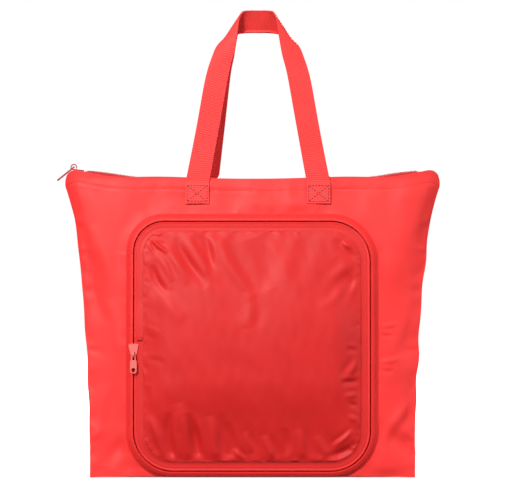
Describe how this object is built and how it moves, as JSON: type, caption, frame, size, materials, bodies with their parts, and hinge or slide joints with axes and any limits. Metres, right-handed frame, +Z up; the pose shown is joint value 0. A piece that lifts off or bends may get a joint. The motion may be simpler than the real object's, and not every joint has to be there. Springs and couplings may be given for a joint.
{
  "type": "foldable tote bag",
  "caption": "Flat red foldable tote bag with two webbing handles, a zipped mouth and a zip-round front pocket that the empty bag folds into.",
  "frame": {"origin": "centre of the base, on the surface that the bag stands on", "axes": "+Z up, -Y out of the front with the pocket, +X to the right seen from the front"},
  "size_m": [0.4109, 0.0759, 0.4953],
  "materials": {
    "fabric_red": "smooth woven polyester with a slight sheen",
    "pocket_fabric": "the same polyester in gathered folds, a shade deeper",
    "webbing": "ribbed woven webbing",
    "zip_tape": "fine woven tape",
    "zip_coil": "satin nylon coil",
    "slider_metal": "painted die-cast metal"
  },
  "bodies": {
    "bag": {"front_panel": "fabric_red", "back_panel": "fabric_red", "left_gusset": "fabric_red", "right_gusset": "fabric_red", "bottom_panel": "fabric_red", "front_facing": "fabric_red", "back_facing": "fabric_red", "handle_front_left_end": "webbing", "handle_front_right_end": "webbing", "handle_back_left_end": "webbing", "handle_back_right_end": "webbing", "top_zip_left_end": "zip_tape", "top_zip_right_end": "zip_tape", "pocket_zip_outer_tape": "zip_tape", "pocket_zip_outer_coil": "zip_coil", "pocket_zip_hinge_tape": "zip_tape", "pocket_zip_hinge_coil": "zip_coil", "pocket_zip_end_tab": "zip_tape"},
    "front_handle": {"handle_front": "webbing"},
    "back_handle": {"handle_back": "webbing"},
    "front_tape": {"top_zip_tape_front": "zip_tape", "top_zip_coil_front": "zip_coil"},
    "back_tape": {"top_zip_tape_back": "zip_tape", "top_zip_coil_back": "zip_coil"},
    "top_slider": {"top_zip_slider": "slider_metal"},
    "top_pull": {"top_zip_pull": "slider_metal"},
    "pocket_slider": {"pocket_zip_slider": "slider_metal"},
    "pocket_pull": {"pocket_zip_pull": "slider_metal"},
    "pocket_flap": {"pocket_panel": "pocket_fabric", "pocket_zip_flap_tape": "zip_tape", "pocket_zip_flap_coil": "zip_coil"}
  },
  "joints": [
    {"name": "handle_front_fold", "type": "hinge", "parent": "bag", "child": "front_handle", "pos_m": [0, -0.0163, 0.3116], "axis": [1, 0, 0], "range_deg": [0, 160]},
    {"name": "handle_back_fold", "type": "hinge", "parent": "bag", "child": "back_handle", "pos_m": [0, 0.0163, 0.3116], "axis": [-1, 0, 0], "range_deg": [0, 160]},
    {"name": "mouth_front_open", "type": "hinge", "parent": "bag", "child": "front_tape", "pos_m": [0, -0.0078, 0.3153], "axis": [1, 0, 0], "range_deg": [0, 60]},
    {"name": "mouth_back_open", "type": "hinge", "parent": "bag", "child": "back_tape", "pos_m": [0, 0.0078, 0.3153], "axis": [-1, 0, 0], "range_deg": [0, 60]},
    {"name": "mouth_zip_travel", "type": "hinge", "parent": "bag", "child": "top_slider", "pos_m": [0, 0, 1.899], "axis": [0, -1, 0], "range_deg": [0, 13.47]},
    {"name": "mouth_pull_swing", "type": "hinge", "parent": "top_slider", "child": "top_pull", "pos_m": [-0.19087, 0, 0.32915], "axis": [0, 1, 0], "range_deg": [0, 182]},
    {"name": "pocket_zip_travel", "type": "slide", "parent": "bag", "child": "pocket_slider", "axis": [0, 0, -1], "range_m": [0, 0.08]},
    {"name": "pocket_pull_swing", "type": "hinge", "parent": "pocket_slider", "child": "pocket_pull", "pos_m": [-0.1255, -0.0382, 0.13055], "axis": [-1, 0, 0], "range_deg": [0, 175]},
    {"name": "pocket_flap_open", "type": "hinge", "parent": "bag", "child": "pocket_flap", "pos_m": [-0.1154, -0.0362, 0.138], "axis": [0, 0, -1], "range_deg": [0, 110]}
  ]
}
